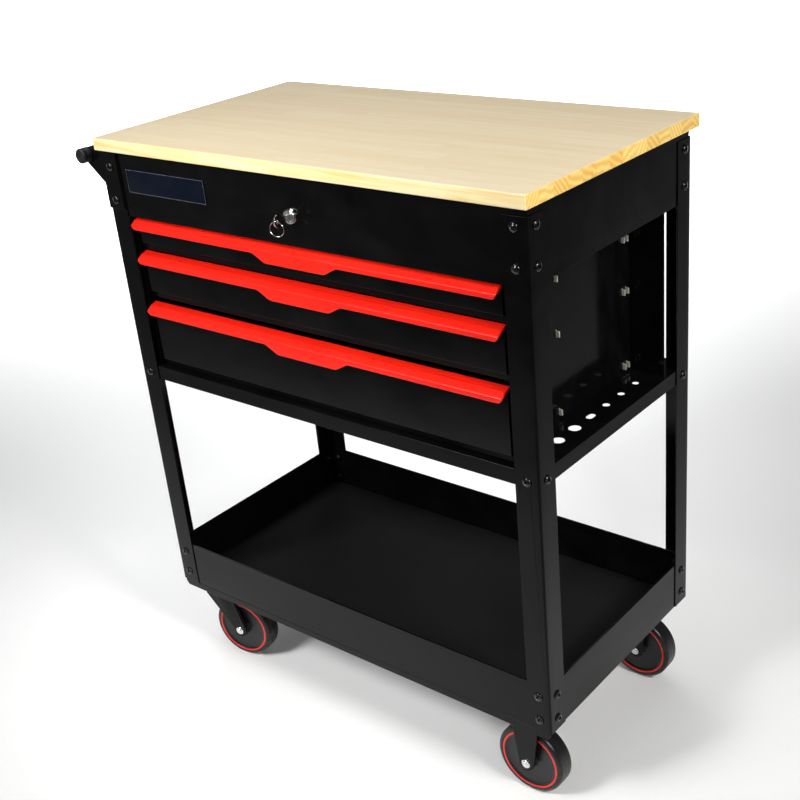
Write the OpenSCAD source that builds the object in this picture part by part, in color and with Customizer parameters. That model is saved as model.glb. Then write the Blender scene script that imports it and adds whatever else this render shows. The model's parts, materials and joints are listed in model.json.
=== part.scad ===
// Open service cart: wood top, three locking drawers, side tool rack, deep lower tray, four casters.
// Seen from the front: +X right, +Y towards the back, +Z up, millimetres.

/* [Frame] */
// Width over the corner posts
frame_w = 700; // [600:10:840]
// Depth over the corner posts
frame_d = 365; // [330:5:440]
// Width of each leg of a corner post
post_leg = 34; // [28:1:42]
// Steel thickness of a corner post
post_t = 1.5; // [1.2:0.1:2.2]
// Steel thickness of trays, panels and drawers
sheet_t = 1.2; // [0.8:0.1:1.6]

/* [Heights] */
// Wall height of the lower tray
tray_h = 71.5; // [50:0.5:110]
// Open height between the tray rim and the deck rim
shelf_gap = 285.5; // [180:0.5:360]
// Height of the folded rim of the deck
deck_rim = 21; // [18:0.5:30]
// Height of the top drawer
drawer_top_h = 48; // [44:1:70]
// Height of the middle drawer
drawer_mid_h = 69; // [50:1:100]
// Height of the bottom drawer
drawer_low_h = 98; // [60:1:140]
// Gap between the top drawer and the middle one
upper_gap = 2; // [1:0.5:8]
// Gap between the middle drawer and the bottom one
lower_gap = 7; // [1:0.5:12]
// Height of the apron above the drawers
apron_h = 90.5; // [84:0.5:120]

/* [Worktop] */
// Thickness of the wooden top
top_t = 17; // [12:0.5:30]
// Overhang at the left and right
top_over_side = 5; // [0:0.5:15]
// Overhang at the front
top_over_front = 6.5; // [0:0.5:15]
// Overhang at the back
top_over_back = 14; // [0:0.5:25]

/* [Drawers] */
// How far a drawer slides out
drawer_travel = 260; // [200:5:270]
// Width left for a slide between a drawer and the cabinet
slide_w = 12.7; // [12.5:0.1:15]
// Height of a slide
slide_h = 24; // [22:1:30]
// Depth from the drawer face to the front of its pull
pull_reach = 13; // [10:0.5:16]
// Height of a pull
pull_h = 15.4; // [14:0.1:20]

/* [Side rack] */
// Width of the open rack at the right of the cabinet
rack_w = 58.5; // [45:0.5:75]
// Depth of the cabinet behind the drawer faces
cabinet_d = 302.5; // [285:0.5:310]
// Diameter of the two large rack holes
rack_hole_d = 16; // [10:0.5:20]
// Spacing of the rack holes
rack_pitch = 37.3; // [30:0.1:40]

/* [Handle] */
// Diameter of the handle tube
tube_d = 20; // [16:1:26]
// Distance from the posts to the tube axis
tube_reach = 28; // [24:1:45]

/* [Casters] */
// Diameter of a wheel
wheel_d = 102; // [76:1:104]
// Width of a tyre
tyre_w = 28; // [22:1:32]
// Height from the floor to the top of a caster plate
caster_h = 132; // [131:1:150]
// Diameter of the axle bolts
axle_d = 8; // [6:1:10]
// Distance from the swivel axis to the axle
trail = 32; // [25:1:36]
// Direction in which the swivel casters stand
swivel_angle = 10; // [-90:1:90]

/* [Fits] */
// Radial running clearance of pins and shafts
run_fit = 0.06; // [0.02:0.01:0.1]
// Gap kept between pieces that move past each other
move_gap = 1; // [0.5:0.1:2]

/* [Hidden] */
$fn = 48;

// Colours
black_paint = [0.07, 0.07, 0.075];
red_paint = [0.85, 0.08, 0.05];
zinc = [0.72, 0.73, 0.72];
rubber_black = [0.12, 0.12, 0.13];

// Half sizes of the frame, outside the posts and inside them where the sheet metal sits
half_w = frame_w / 2;
half_d = frame_d / 2;
in_w = half_w - post_t;
in_d = half_d - post_t;

// Outer bend of a post, and the slightly softer corners of the trays that stand in the posts
post_corner_r = 3;
tray_corner_r = post_corner_r - post_t + 1;

// Heights, from the floor up
channel_t = 2;
tray_z = caster_h + channel_t;
tray_top = tray_z + tray_h;
deck_z = tray_top + shelf_gap;
deck_top = deck_z + deck_rim;
low_z = deck_top + move_gap;
mid_z = low_z + drawer_low_h + lower_gap;
drawer_z = [mid_z + drawer_mid_h + upper_gap, mid_z, low_z];
drawer_hs = [drawer_top_h, drawer_mid_h, drawer_low_h];
apron_gap = 1;
apron_z = drawer_z[0] + drawer_top_h + apron_gap;
pan_top = apron_z + apron_h;
top_z = pan_top + top_t;
post_drop = 9.5;
post_top = pan_top - post_drop;

// Frame bolts: distance from the post corner and heights
bolt_d = 6;
bolt_hole_d = 6.6;
bolt_head_d = 12;
bolt_head_h = 3.2;
nut_d = 11.5;
nut_h = 5;
bolt_inset = post_leg / 2;
bolt_drop = 21.7;
bolt_pitch = 46.5;
bolt_heights = [pan_top - bolt_drop, pan_top - bolt_drop - bolt_pitch, deck_z + 9, tray_top - 16.5, tray_z + 18.2];

// Cabinet: inner faces of its two sides, its front plane and its back
face_y = -half_d + 8;
cab_left = -(half_w - post_leg - 2.8);
cab_right = half_w - sheet_t - rack_w;
cab_back = face_y + cabinet_d;
front_half = half_w - post_leg - 9;
pull_cap = 6;
pull_wall = 1.6;
pull_seat = 2 * pull_wall;
flange_d = 13;
side_y0 = face_y + flange_d + 3;
stile_t = 3;
stile_y0 = face_y + 0.5;
foot_w = 12;

// Drawers
box_t = 1;
step_h = 9;
step_in = 4;
box_left = cab_left + slide_w;
box_right = cab_right - slide_w;
box_y0 = face_y + flange_d;
box_y1 = cab_back - 11;
box_lift = 2;
rear_drop = 13;

// Slides
slide_y0 = side_y0 + 4;
slide_y1 = cab_back - 4;
slide_lift = 4;
member_t = 1;
member_gap = 1;

// Wheels and casters
axle_z = wheel_d / 2;
core_d = wheel_d - 15;
hub_w = tyre_w + 9;
fork_gap = hub_w + 1;
fork_lip = 4.2;
fork_t = 2.5;
plate_t = 3;
plate_x = 84;
plate_y = 60;
plate_bolt_x = 62;
plate_bolt_y = 42;
caster_bolt_d = 6;
cup_head_d = 13;
cup_head_h = 1.8;
caster_x = half_w - 54;
caster_y = half_d - 37;
channel_d = 72;
channel_lip = 11.5;
race_d = 46;
race_h = 7;
crown_z = caster_h - 22;
kingpin_d = 10;

// Lock and key
lock_x = 2;
lock_z = pan_top - 51;
lock_d = 19;
barrel_d = 15;
plug_d = 11;
rod_d = 6;
crank_r = 8;
lock_turn = 90;
crank_rest = 45;
crank_pin_d = 4;
bar_t = 2;
bar_travel = 2 * crank_r * sin(crank_rest);
bar_y = cab_back - 7;
bow_y0 = -half_d - 29;
bow_d = 17;
ring_d = 18;
ring_wire = 1.6;
ring_hole_d = 5;
ring_y = bow_y0 + 4;

// Handle
bracket_t = 2;
cap_l = 13;
tube_z = pan_top - 9;

// The row's origin stands under the middle of everything, on the floor
left_most = -half_w - tube_reach - tube_d / 2 - 0.5;
right_most = half_w + top_over_side;
front_most = bow_y0;
back_most = half_d + max(top_over_back, bracket_t + cap_l);
mid_x = (left_most + right_most) / 2;
mid_y = (front_most + back_most) / 2;

// ---- Shared shapes ----

module placed() {
    translate([-mid_x, -mid_y, 0]) children();
}

module block(x0, x1, y0, y1, z0, z1) {
    translate([x0, y0, z0]) cube([x1 - x0, y1 - y0, z1 - z0]);
}

// A corner of the frame: the children are drawn for x and y running inwards from the post's outer corner
module corner(side, end) {
    translate([side * half_w, end * half_d, 0])
        mirror([side > 0 ? 1 : 0, 0, 0])
        mirror([0, end > 0 ? 1 : 0, 0])
        children();
}

module rod_y(d, y0, y1) {
    translate([0, y0, 0]) rotate([-90, 0, 0]) cylinder(d = d, h = y1 - y0);
}

module rod_x(d, x0, x1) {
    translate([x0, 0, 0]) rotate([0, 90, 0]) cylinder(d = d, h = x1 - x0);
}

// A square with one rounded corner at the origin
module bent_square(size, r) {
    translate([r, r]) circle(r);
    translate([r, 0]) square([size - r, size]);
    translate([0, r]) square([size, size - r]);
}

module rounded_rect(w, d, r) {
    for (x = [r, w - r], y = [r, d - r]) translate([x, y]) circle(r);
    translate([r, 0]) square([w - 2 * r, d]);
    translate([0, r]) square([w, d - 2 * r]);
}

// A block with rounded upright corners
module bent_block(x0, x1, y0, y1, z0, z1, r) {
    translate([x0, y0, z0]) linear_extrude(z1 - z0) rounded_rect(x1 - x0, y1 - y0, r);
}

// A profile drawn as y and z, run along x from x0 to x1
module run_x(x0, x1) {
    translate([x0, 0, 0]) rotate([90, 0, 90]) linear_extrude(x1 - x0) children();
}

// A profile drawn as x and z, run along y from y0 to y1
module run_y(y0, y1) {
    translate([0, y1, 0]) rotate([90, 0, 0]) linear_extrude(y1 - y0) children();
}

// Holes for the frame bolts, in corner places
module bolt_holes(heights) {
    for (z = heights) {
        translate([bolt_inset, 0, z]) rod_y(bolt_hole_d, -5, post_t + sheet_t + 2);
        translate([0, bolt_inset, z]) rod_x(bolt_hole_d, -5, post_t + sheet_t + 2);
    }
}

module all_corner_holes(heights) {
    for (side = [-1, 1], end = [-1, 1]) corner(side, end) bolt_holes(heights);
}

// ---- Frame ----

module post(side, end) {
    color(black_paint) placed() corner(side, end)
    difference() {
        translate([0, 0, tray_z]) linear_extrude(post_top - tray_z)
        difference() {
            bent_square(post_leg, post_corner_r);
            translate([post_t, post_t]) bent_square(post_leg, post_corner_r - post_t);
        }
        bolt_holes(bolt_heights);
    }
}

module post_front_left() { post(-1, -1); }
module post_front_right() { post(1, -1); }
module post_rear_left() { post(-1, 1); }
module post_rear_right() { post(1, 1); }

module frame_bolt(grip) {
    translate([0, 0, -bolt_head_h]) cylinder(d = bolt_head_d, h = bolt_head_h);
    cylinder(d = bolt_d, h = grip + nut_h + 1.5);
    translate([0, 0, grip]) difference() {
        cylinder(d = nut_d, h = nut_h, $fn = 6);
        translate([0, 0, -1]) cylinder(d = bolt_d + 0.2, h = nut_h + 2);
    }
}

module frame_bolts() {
    color(black_paint) placed()
    for (side = [-1, 1], end = [-1, 1]) corner(side, end)
    for (i = [0:len(bolt_heights) - 1]) {
        under = side < 0 && i < 2 ? bracket_t : 0;
        grip = post_t + sheet_t;
        translate([bolt_inset, -under, bolt_heights[i]]) rotate([-90, 0, 0]) frame_bolt(grip + under);
        translate([0, bolt_inset, bolt_heights[i]]) rotate([0, 90, 0]) frame_bolt(grip);
    }
}

// ---- Worktop and the pan under it ----

module worktop() {
    color([0.87, 0.76, 0.57]) placed()
    translate([-half_w - top_over_side, -half_d - top_over_front, pan_top])
    linear_extrude(top_t)
    rounded_rect(frame_w + 2 * top_over_side, frame_d + top_over_front + top_over_back, 2);
}

// An upside-down tray: a flat web with four folded walls and a small return at the bottom of each
module folded_cover(z0, z1, lip) {
    difference() {
        bent_block(-in_w, in_w, -in_d, in_d, z0, z1, tray_corner_r);
        block(-in_w + sheet_t, in_w - sheet_t, -in_d + sheet_t, in_d - sheet_t, z0 + sheet_t, z1 - sheet_t);
        block(-in_w + lip, in_w - lip, -in_d + lip, in_d - lip, z0 - 1, z0 + sheet_t + 1);
    }
}

module top_pan() {
    color(black_paint) placed()
    difference() {
        folded_cover(apron_z, pan_top, 8);
        all_corner_holes([bolt_heights[0], bolt_heights[1]]);
        translate([lock_x, 0, lock_z]) rod_y(barrel_d + 0.4, -in_d - 1, -in_d + sheet_t + 1);
    }
}

module mid_deck() {
    color(black_paint) placed()
    difference() {
        folded_cover(deck_z, deck_top, sheet_t);
        all_corner_holes([bolt_heights[2]]);
        for (i = [0:1]) rack_hole(i) cylinder(d = rack_hole_d, h = 4, center = true);
        rack_hole(2) for (y = [-3, 3]) translate([0, y, 0]) cylinder(d = 9, h = 4, center = true);
        rack_hole(2) cube([9, 6, 4], center = true);
        for (i = [3:5]) rack_hole(i) cylinder(d = 9.5 - 0.5 * (i - 3), h = 4, center = true);
    }
}

module rack_hole(i) {
    first = -95;
    translate([half_w - 30, first + i * rack_pitch, deck_top - sheet_t / 2]) children();
}

module bottom_tray() {
    hem = 2 * sheet_t;
    color(black_paint) placed()
    difference() {
        bent_block(-in_w, in_w, -in_d, in_d, tray_z, tray_top, tray_corner_r);
        block(-in_w + sheet_t, in_w - sheet_t, -in_d + sheet_t, in_d - sheet_t, tray_z + sheet_t, tray_top - 7);
        block(-in_w + hem, in_w - hem, -in_d + hem, in_d - hem, tray_top - 8, tray_top + 1);
        all_corner_holes([bolt_heights[3], bolt_heights[4]]);
        caster_bolt_places() cylinder(d = caster_bolt_d + 0.6, h = 3 * sheet_t, center = true);
    }
}

module tray_mat() {
    mat_t = 3;
    inset = 2 * sheet_t + 1;
    color([0.16, 0.16, 0.17]) placed()
    difference() {
        translate([-in_w + inset, -in_d + inset, tray_z + sheet_t])
            linear_extrude(mat_t) rounded_rect(2 * (in_w - inset), 2 * (in_d - inset), 6);
        caster_bolt_places() cylinder(d = cup_head_d + 1, h = sheet_t + cup_head_h + 0.2);
    }
}

// ---- Cabinet ----

module cabinet_left() {
    color(black_paint) placed() {
        block(cab_left - sheet_t, cab_left, side_y0 - 3, cab_back, deck_top, pan_top - sheet_t);
        block(cab_left - stile_t, cab_left, stile_y0, side_y0 - 3, deck_top, apron_z);
        block(cab_left - foot_w, cab_left, side_y0, cab_back, deck_top, deck_top + sheet_t);
    }
}

module cabinet_right() {
    stile = half_w - post_leg - 0.5;
    color(black_paint) placed()
    difference() {
        union() {
            block(cab_right, cab_right + sheet_t, side_y0, cab_back, deck_top, pan_top - sheet_t);
            block(cab_right, stile, side_y0, side_y0 + sheet_t, deck_top, apron_z);
            block(stile - stile_t, stile, stile_y0, side_y0, deck_top, apron_z);
            block(cab_right, cab_right + foot_w, side_y0, cab_back, deck_top, deck_top + sheet_t);
        }
        for (i = [0:2], y = tab_places()) translate([cab_right, y, slide_z(i)]) tab_slot();
    }
}

module cabinet_back() {
    rivet_y = bar_y - 1.5;
    color(black_paint) placed() {
        block(cab_left - foot_w, half_w - 8, cab_back, cab_back + sheet_t, deck_top, apron_z - 1);
        block(cab_left, cab_right, cab_back, cab_back + sheet_t, apron_z - 1, pan_top - sheet_t);
        for (i = [1, 2]) translate([bar_x(), 0, rivet_z(i)]) {
            rod_y(5, rivet_y, cab_back);
            rod_y(10, rivet_y - 1.5, rivet_y);
        }
    }
}

module badge() {
    badge_w = 156;
    badge_h = 34;
    color([0.08, 0.13, 0.25]) placed()
    translate([-half_w + 45, 0, pan_top - 22 - badge_h]) run_y(-in_d - 1.2, -in_d) rounded_rect(badge_w, badge_h, 2);
}

// ---- Drawers ----

// Walls and floor of drawer i, open at the top, with a lower rear wall for the lock's hook
module drawer_box(i) {
    z0 = drawer_z[i] + box_lift;
    z1 = drawer_z[i] + drawer_hs[i] - 5;
    color(black_paint) placed()
    difference() {
        block(box_left, box_right, box_y0, box_y1, z0, z1);
        block(box_left + box_t, box_right - box_t, box_y0 + box_t, box_y1 - box_t, z0 + box_t, z1 + 1);
        block(box_left + 12, box_right - 12, box_y1 - 3, box_y1 + 1, z1 - rear_drop, z1 + 1);
    }
}

module drawer_box_top() { drawer_box(0); }
module drawer_box_middle() { drawer_box(1); }
module drawer_box_bottom() { drawer_box(2); }

// Face of drawer i: a folded sheet whose lowest strip steps back and whose top edge carries the pull
module drawer_front(i) {
    z0 = drawer_z[i];
    z1 = z0 + drawer_hs[i] - pull_seat;
    t = sheet_t;
    back = face_y + flange_d;
    color(black_paint) placed() {
        run_x(-front_half, front_half)
        polygon([[back, z1], [face_y, z1], [face_y, z0 + step_h], [face_y + step_in, z0 + step_h],
            [face_y + step_in, z0], [back, z0], [back, z0 + t], [face_y + step_in + t, z0 + t],
            [face_y + step_in + t, z0 + step_h + t], [face_y + t, z0 + step_h + t],
            [face_y + t, z1 - t], [back, z1 - t]]);
        for (x = [-front_half, front_half - t])
            block(x, x + t, face_y + t, back - 1, z0 + step_h, z1 - t);
    }
}

module drawer_front_top() { drawer_front(0); }
module drawer_front_middle() { drawer_front(1); }
module drawer_front_bottom() { drawer_front(2); }

// Full-width pull: a cap over the drawer's top edge, a face sloping outwards, a lip and a deeper tab at the middle.
// The profile is drawn as distance in front of the drawer face and height above the lip's lower edge.
module pull(i) {
    z0 = drawer_z[i] + drawer_hs[i] - pull_h;
    seat_z = pull_h - pull_seat;
    inner = pull_reach - pull_wall;
    lip_h = 6.2;
    slope_top = pull_h - 2.8;
    tab_h = 11;
    tab_w = 51;
    tab_slope = 21;
    end_r = 6.5;
    color(red_paint) placed()
    intersection() {
        union() {
            run_x(-front_half, front_half) translate([face_y, z0]) mirror([1, 0])
            polygon([[-pull_cap, pull_h], [0, pull_h - 1.4], [2.5, slope_top + 0.2], [4.5, slope_top],
                [pull_reach - 1, lip_h + 1], [pull_reach, lip_h], [pull_reach, 0], [inner, 0],
                [inner, lip_h - 1.2], [inner - 0.5, lip_h - 0.7], [0, seat_z - 1.6], [0, seat_z],
                [pull_wall - pull_cap, seat_z + 1.1], [pull_wall - pull_cap, seat_z], [-pull_cap, seat_z]]);
            run_y(face_y - pull_reach, face_y - inner) translate([0, z0])
            polygon([[tab_w + tab_slope, 1], [-tab_w - tab_slope, 1], [-tab_w - tab_slope, 0],
                [-tab_w, -tab_h], [tab_w, -tab_h], [tab_w + tab_slope, 0]]);
        }
        run_y(face_y - pull_reach - 1, face_y + pull_cap + 1) {
            translate([-front_half, z0]) rounded_rect(2 * front_half, pull_h + 2 * end_r, end_r);
            translate([-tab_w - tab_slope, z0 - tab_h - 1]) square([2 * (tab_w + tab_slope), pull_h]);
        }
    }
}

module pull_top() { pull(0); }
module pull_middle() { pull(1); }
module pull_bottom() { pull(2); }

// ---- Slides ----

function slide_z(i) = drawer_z[i] + slide_lift;
function tab_places() = [slide_y0 + 108, slide_y1 - 14, slide_y1 - 5];

module tab_slot() {
    translate([-1, -1.6, 0.5]) cube([sheet_t + 2, 3.2, 10]);
}

// A C-shaped rail along y: its web starts at distance u0 from the wall and its flanges reach to u1
module rail(u0, u1, low, high, y0, y1) {
    block(u0, u0 + member_t, y0, y1, low, high);
    block(u0, u1, y0, y1, low, low + member_t);
    block(u0, u1, y0, y1, high - member_t, high);
}

// Both sides of slide i: the children are drawn with x as the distance from the cabinet wall
module both_sides(i) {
    translate([cab_left, 0, slide_z(i)]) children();
    translate([cab_right, 0, slide_z(i)]) mirror([1, 0, 0]) children();
}

module slides_outer() {
    color(zinc) placed()
    for (i = [0:2]) {
        both_sides(i) rail(0, 9.5, 0, slide_h, slide_y0, slide_y1);
        for (y = tab_places()) translate([cab_right, y, slide_z(i) + 1]) {
            translate([0, -1.2, 0]) cube([sheet_t + 4, 2.4, 8]);
        }
    }
}

module slides_middle(i) {
    inset = member_t + member_gap;
    color(zinc) placed() both_sides(i)
    rail(4, 10.6, inset, slide_h - inset, slide_y0 + 3, slide_y1 - 3);
}

module slides_middle_top() { slides_middle(0); }
module slides_middle_middle() { slides_middle(1); }
module slides_middle_bottom() { slides_middle(2); }

module slides_inner(i) {
    inset = 2 * (member_t + member_gap);
    color(zinc) placed() both_sides(i)
    translate([slide_w, 0, 0]) mirror([1, 0, 0])
    rail(0, slide_w - 6.2, inset, slide_h - inset, slide_y0 + 2, box_y1);
}

module slides_inner_top() { slides_inner(0); }
module slides_inner_middle() { slides_inner(1); }
module slides_inner_bottom() { slides_inner(2); }

// ---- Lock ----

module lock_housing() {
    front = -in_d - 5;
    back = -in_d + 22;
    color(zinc) placed()
    translate([lock_x, 0, lock_z])
    difference() {
        union() {
            rod_y(lock_d, front, -in_d);
            rod_y(barrel_d, -in_d, back);
            intersection() {
                rod_y(22, -in_d + sheet_t, -in_d + sheet_t + 4);
                block(-9.5, 9.5, -in_d, 0, -11, 11);
            }
        }
        rod_y(plug_d + 2 * run_fit, front - 1, back + 1);
    }
}

// The turning part: plug, rod to the back and the crank that works the bar
module lock_plug() {
    front = -in_d - 4.5;
    crank_y = bar_y - 4;
    color(zinc) placed()
    translate([lock_x, 0, lock_z])
    difference() {
        union() {
            rod_y(plug_d, front, -in_d + 24);
            rod_y(rod_d, -in_d + 23, crank_y + 1);
            rotate([0, -crank_rest, 0]) {
                block(-4, crank_r + 4, crank_y, crank_y + 2, -4, 4);
                translate([crank_r, 0, 0]) rod_y(crank_pin_d, crank_y + 1, bar_y + bar_t + 1);
            }
        }
        block(-1.1, 1.1, front - 1, -in_d + 18, -3.6, 3.6);
    }
}

module key() {
    color(zinc) placed()
    translate([lock_x, 0, lock_z])
    difference() {
        union() {
            block(-1, 1, -in_d - 14, -in_d + 17, -3.4, 3.4);
            intersection() {
                translate([0, bow_y0 + bow_d / 2, 0]) rod_x(bow_d, -1, 1);
                block(-1, 1, bow_y0, -in_d - 13, -bow_d, bow_d);
            }
            block(-1, 1, bow_y0 + bow_d / 2, -in_d - 13, -5, 5);
        }
        translate([0, ring_y, 0]) rod_x(ring_hole_d, -3, 3);
    }
}

// A split ring that hangs from the bow of the key
module key_ring() {
    color(zinc) placed()
    translate([lock_x, ring_y, lock_z - ring_d / 2 - ring_hole_d / 2 + ring_wire / 2 + 1.6])
    rotate([90, 0, 0]) rotate_extrude() translate([ring_d / 2, 0]) circle(d = ring_wire, $fn = 20);
}

function bar_x() = lock_x + crank_r * cos(crank_rest);
function bar_low() = hook_z(2) - 14;
function hook_z(i) = drawer_z[i] + drawer_hs[i] - 5 - rear_drop + 1.5;
function rivet_z(i) = (hook_z(i) + bar_travel + bar_t + hook_z(i - 1)) / 2;

// A flat bar with three hooks: turning the key lowers it, and each hook drops inside a drawer's rear wall
module lock_bar() {
    half = 9;
    x = bar_x();
    pin_z = lock_z + bar_travel / 2;
    hook_y = box_y1 - box_t - 8;
    color(zinc) placed()
    difference() {
        union() {
            block(x - half, x + half, bar_y, bar_y + bar_t, bar_low(), lock_z + 22);
            for (i = [0:2]) {
                arm_z = hook_z(i) + bar_travel;
                block(x - 5, x + 5, hook_y, bar_y, arm_z, arm_z + bar_t);
                block(x - 5, x + 5, hook_y, hook_y + bar_t, hook_z(i), arm_z + bar_t);
            }
        }
        block(x - 5.5, x + 5.5, bar_y - 1, bar_y + bar_t + 1, pin_z - 3, pin_z + 3);
        for (i = [1, 2])
            block(x - 3, x + 3, bar_y - 1, bar_y + bar_t + 1, rivet_z(i) - 4, rivet_z(i) + bar_travel + 4);
    }
}

// ---- Handle ----

module handle_bracket(end) {
    tube_x = -tube_reach;
    half_tube = tube_d / 2;
    bracket_top = pan_top - 1.5;
    color(black_paint) placed() corner(-1, end)
    difference() {
        run_y(-bracket_t, 0)
            polygon([[post_leg - 2, bolt_heights[1] - 13], [0, bolt_heights[1] - 13], [0, bolt_heights[1] + 22],
                [tube_x - half_tube / 2, tube_z - half_tube], [tube_x - half_tube + 0.5, tube_z - 3],
                [tube_x - half_tube + 0.5, tube_z + 3], [tube_x - half_tube / 2, bracket_top],
                [post_leg - 2, bracket_top]]);
        for (i = [0:1]) translate([bolt_inset, 0, bolt_heights[i]]) rod_y(bolt_hole_d, -5, 5);
        translate([tube_x, 0, tube_z]) rod_y(8, -5, 5);
    }
}

module handle_bracket_front() { handle_bracket(-1); }
module handle_bracket_rear() { handle_bracket(1); }

module handle_tube() {
    color(black_paint) placed()
    translate([-half_w - tube_reach, 0, tube_z])
    difference() {
        rod_y(tube_d, -half_d, half_d);
        rod_y(tube_d - 3, -half_d - 1, half_d + 1);
    }
}

module handle_caps() {
    color([0.1, 0.1, 0.11]) placed()
    for (end = [-1, 1]) corner(-1, end) translate([-tube_reach, 0, tube_z]) {
        translate([0, -bracket_t, 0]) rotate([90, 0, 0]) rotate_extrude() {
            square([tube_d / 2 + 0.5, cap_l - 2]);
            square([tube_d / 2 - 1.5, cap_l]);
            translate([tube_d / 2 - 1.5, cap_l - 2]) circle(2);
        }
        rod_y(7.6, -bracket_t, 12);
    }
}

// ---- Channels and casters ----

// Folded channel under the tray that carries two casters; the front one has a deep lip
module channel(lip) {
    y0 = -in_d;
    y1 = -in_d + channel_d;
    difference() {
        union() {
            block(-in_w + 6, in_w - 6, y0, y1, tray_z - channel_t, tray_z);
            block(-in_w + 6, in_w - 6, y1 - channel_t, y1, tray_z - channel_t - 2.5, tray_z);
            if (lip > 0) {
                run_y(y0, y0 + channel_t) polygon([[-in_w + 1, tray_z], [in_w - 1, tray_z], [in_w - 1, tray_z - lip / 2],
                    [in_w - 6, tray_z - lip], [-in_w + 6, tray_z - lip], [-in_w + 1, tray_z - lip / 2]]);
                block(-in_w + 6, in_w - 6, y0, y0 + 8, tray_z - lip, tray_z - lip + channel_t);
            }
        }
        caster_bolt_places() cylinder(d = caster_bolt_d + 0.6, h = 30, center = true);
    }
}

module front_channel() {
    color(black_paint) placed() channel(channel_lip);
}

module rear_channel() {
    color(black_paint) placed() mirror([0, 1, 0]) channel(0);
}

module caster_places(sides) {
    for (side = sides, end = [-1, 1]) translate([side * caster_x, end * caster_y, 0]) children();
}

module caster_bolt_places() {
    translate([0, 0, tray_z]) caster_places([-1, 1])
    for (x = [-1, 1], y = [-1, 1]) translate([x * plate_bolt_x / 2, y * plate_bolt_y / 2, 0]) children();
}

module caster_bolts() {
    under = channel_t + plate_t;
    color(zinc) placed() caster_bolt_places() {
        translate([0, 0, -under - nut_h - 1]) cylinder(d = caster_bolt_d, h = under + sheet_t + nut_h + 1.5);
        translate([0, 0, -under - nut_h]) cylinder(d = nut_d, h = nut_h, $fn = 6);
        translate([0, 0, sheet_t]) cylinder(d = cup_head_d, h = cup_head_h);
    }
}

module caster_plate() {
    difference() {
        translate([-plate_x / 2, -plate_y / 2, caster_h - plate_t]) linear_extrude(plate_t)
            rounded_rect(plate_x, plate_y, 6);
        for (x = [-1, 1], y = [-1, 1])
            translate([x * plate_bolt_x / 2, y * plate_bolt_y / 2, caster_h - plate_t - 1])
            cylinder(d = caster_bolt_d + 0.6, h = plate_t + 2);
    }
}

// Two cheeks that taper from the crown at height z1 to the axle, which is dx away
module cheeks(top_w, dx, z1) {
    boss = 12;
    for (s = [-1, 1]) translate([0, s * (fork_gap + fork_t) / 2, 0])
    difference() {
        run_y(-fork_t / 2, fork_t / 2) union() {
            polygon([[-top_w / 2, z1], [top_w / 2, z1], [dx + boss, axle_z + 2], [dx + boss * 0.6, axle_z - boss * 0.8],
                [dx - boss * 0.6, axle_z - boss * 0.8], [dx - boss, axle_z + 2]]);
            translate([dx, axle_z]) circle(boss);
        }
        translate([dx, 0, axle_z]) rod_y(axle_d + 0.2, -fork_t, fork_t);
    }
    for (s = [-1, 1], e = [-1, 1]) translate([0, s * (fork_gap - fork_lip) / 2, 0])
        run_y(-fork_lip / 2, fork_lip / 2)
        polygon([[e * top_w / 2, z1], [e * (top_w / 2 - fork_t), z1],
            [dx + e * (boss - fork_t), axle_z + 8], [dx + e * boss, axle_z + 8]]);
}

module rigid_forks() {
    top = caster_h - plate_t;
    color(black_paint) placed() caster_places([1]) {
        caster_plate();
        cheeks(46, 0, top);
        for (x = [-23, 20.5])
            block(x, x + 2.5, -(fork_gap / 2), fork_gap / 2, wheel_d + 4, top);
    }
}

module swivel_plates() {
    top = caster_h - plate_t;
    color(black_paint) placed() caster_places([-1]) {
        caster_plate();
        translate([0, 0, top - race_h]) cylinder(d = race_d + 6, h = race_h);
        translate([0, 0, crown_z - 5]) cylinder(d = kingpin_d, h = top - crown_z + 5);
        translate([0, 0, crown_z - 5]) cylinder(d = kingpin_d + 6, h = 4.6);
    }
}

// The swivelling fork, drawn with its axle towards +x
module swivel_fork_body() {
    crown_t = 3;
    wide = fork_gap + 2 * fork_t;
    difference() {
        union() {
            translate([0, 0, crown_z]) cylinder(d = race_d, h = caster_h - plate_t - race_h - 0.5 - crown_z);
            block(-24, 24, -wide / 2, wide / 2, crown_z, crown_z + crown_t);
            cheeks(48, trail, crown_z);
        }
        translate([0, 0, crown_z - 1]) cylinder(d = kingpin_d + 2 * run_fit, h = 30);
    }
}

module swivel_at(end) {
    translate([-caster_x, end * caster_y, 0]) rotate([0, 0, swivel_angle]) children();
}

module swivel_fork_front() {
    color(black_paint) placed() swivel_at(-1) swivel_fork_body();
}

module swivel_fork_rear() {
    color(black_paint) placed() swivel_at(1) swivel_fork_body();
}

module axle_bolt() {
    out = fork_gap / 2 + fork_t;
    translate([0, 0, axle_z]) {
        rod_y(axle_d, -out, out + 6);
        rod_y(13, -out - 2, -out);
        rotate([90, 0, 0]) translate([0, 0, out + 2]) cylinder(d = 9, h = 1.5);
        translate([0, out, 0]) rotate([-90, 0, 0]) cylinder(d = 13, h = 5, $fn = 6);
    }
}

module axle_front_left() { color(zinc) placed() swivel_at(-1) translate([trail, 0, 0]) axle_bolt(); }
module axle_rear_left() { color(zinc) placed() swivel_at(1) translate([trail, 0, 0]) axle_bolt(); }
module axles_right() { color(zinc) placed() caster_places([1]) axle_bolt(); }

// A round shape on the axle: the children are drawn as radius and distance along the axle
module spun() {
    translate([0, 0, axle_z]) rotate([90, 0, 0]) rotate_extrude($fn = 96) children();
}

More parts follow.
